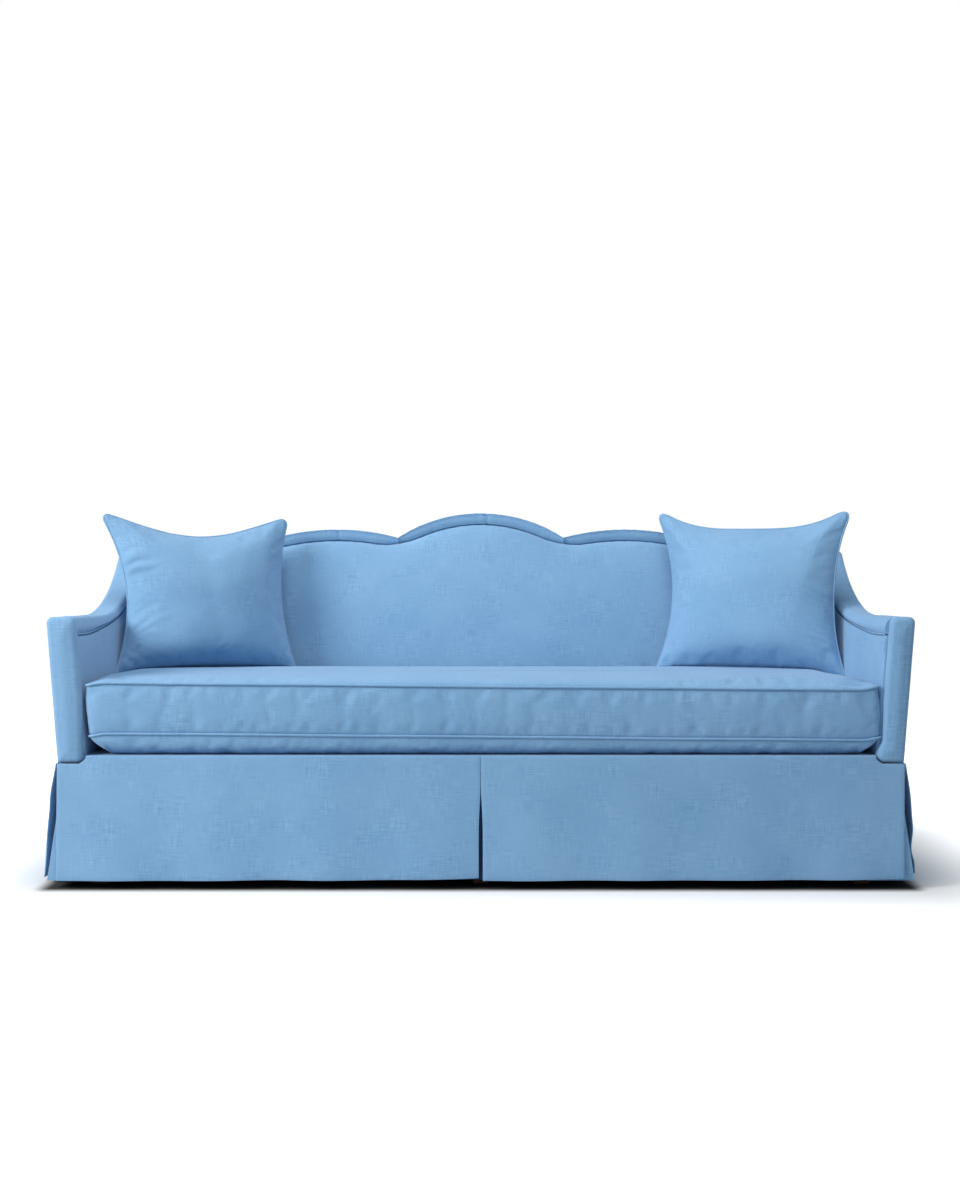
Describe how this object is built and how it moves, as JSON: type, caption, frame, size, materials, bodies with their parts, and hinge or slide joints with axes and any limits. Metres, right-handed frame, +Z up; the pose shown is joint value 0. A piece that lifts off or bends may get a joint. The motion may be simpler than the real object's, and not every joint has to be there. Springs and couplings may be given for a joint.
{
  "type": "camelback sofa",
  "caption": "Camelback sofa with sloping arms, a loose bench cushion, loose throw pillows and a kick-pleat skirt, upholstered in blue linen.",
  "frame": {"origin": "on the floor under the middle of the sofa's box", "axes": "+X to the right seen from the front, +Y from the front to the back, +Z up"},
  "size_m": [2.2232, 0.8826, 0.972],
  "materials": {
    "blue_linen": "matte plain-weave linen",
    "frame_timber": "sawn kiln-dried hardwood",
    "foot_wood": "dark satin stain",
    "black_lining": "thin bonded cloth",
    "spring_steel": "oiled spring wire",
    "foam": "foam in a thin cotton cover",
    "feather_insert": "white downproof cotton",
    "zip_tape": "woven tape with coil teeth",
    "zip_metal": "nickel plated"
  },
  "bodies": {
    "root": {"front_left_foot": "foot_wood", "front_right_foot": "foot_wood", "rear_left_foot": "foot_wood", "rear_right_foot": "foot_wood", "front_centre_foot": "foot_wood", "rear_centre_foot": "foot_wood", "front_rail": "frame_timber", "rear_rail": "frame_timber", "left_side_rail": "frame_timber", "right_side_rail": "frame_timber", "centre_stretcher": "frame_timber", "front_left_corner_block": "frame_timber", "front_right_corner_block": "frame_timber", "rear_left_corner_block": "frame_timber", "rear_right_corner_block": "frame_timber", "left_arm_rail": "frame_timber", "left_arm_post": "frame_timber", "left_back_post": "frame_timber", "right_arm_rail": "frame_timber", "right_arm_post": "frame_timber", "right_back_post": "frame_timber", "back_top_rail": "frame_timber", "centre_back_stile": "frame_timber", "left_back_stile": "frame_timber", "right_back_stile": "frame_timber", "left_back_tack_rail": "frame_timber", "right_back_tack_rail": "frame_timber", "dust_cover": "black_lining", "seat_spring_unit": "spring_steel", "deck_pad": "foam", "front_edge_roll": "blue_linen", "left_arm_top_pad": "blue_linen", "left_arm_facing": "blue_linen", "left_inside_arm_pad": "blue_linen", "left_outside_arm_panel": "blue_linen", "right_arm_top_pad": "blue_linen", "right_arm_facing": "blue_linen", "right_inside_arm_pad": "blue_linen", "right_outside_arm_panel": "blue_linen", "inside_back_pad": "blue_linen", "back_border_centre": "blue_linen", "back_border_left": "blue_linen", "back_border_right": "blue_linen", "outside_back_panel": "blue_linen", "front_left_skirt": "blue_linen", "front_right_skirt": "blue_linen", "left_side_skirt": "blue_linen", "right_side_skirt": "blue_linen", "back_skirt": "blue_linen", "centre_skirt_lining": "blue_linen", "left_corner_skirt_lining": "blue_linen", "right_corner_skirt_lining": "blue_linen"},
    "cushion": {"seat_cushion_cover": "blue_linen", "seat_cushion_core": "foam", "cushion_zip": "zip_tape"},
    "zip_slider": {"zip_slider": "zip_metal"},
    "left_pillow": {"left_pillow_cover": "blue_linen", "left_pillow_insert": "feather_insert"},
    "right_pillow": {"right_pillow_cover": "blue_linen", "right_pillow_insert": "feather_insert"}
  },
  "joints": [
    {"name": "seat_cushion_lift", "type": "slide", "parent": "root", "child": "cushion", "axis": [0, 0, 1], "range_m": [0, 0.65]},
    {"name": "left_pillow_lift", "type": "slide", "parent": "cushion", "child": "left_pillow", "axis": [0, 0, 1], "range_m": [0, 0.5]},
    {"name": "right_pillow_lift", "type": "slide", "parent": "cushion", "child": "right_pillow", "axis": [0, 0, 1], "range_m": [0, 0.5]},
    {"name": "zip_slide", "type": "slide", "parent": "cushion", "child": "zip_slider", "axis": [1, 0, 0], "range_m": [0, 1.44]}
  ]
}
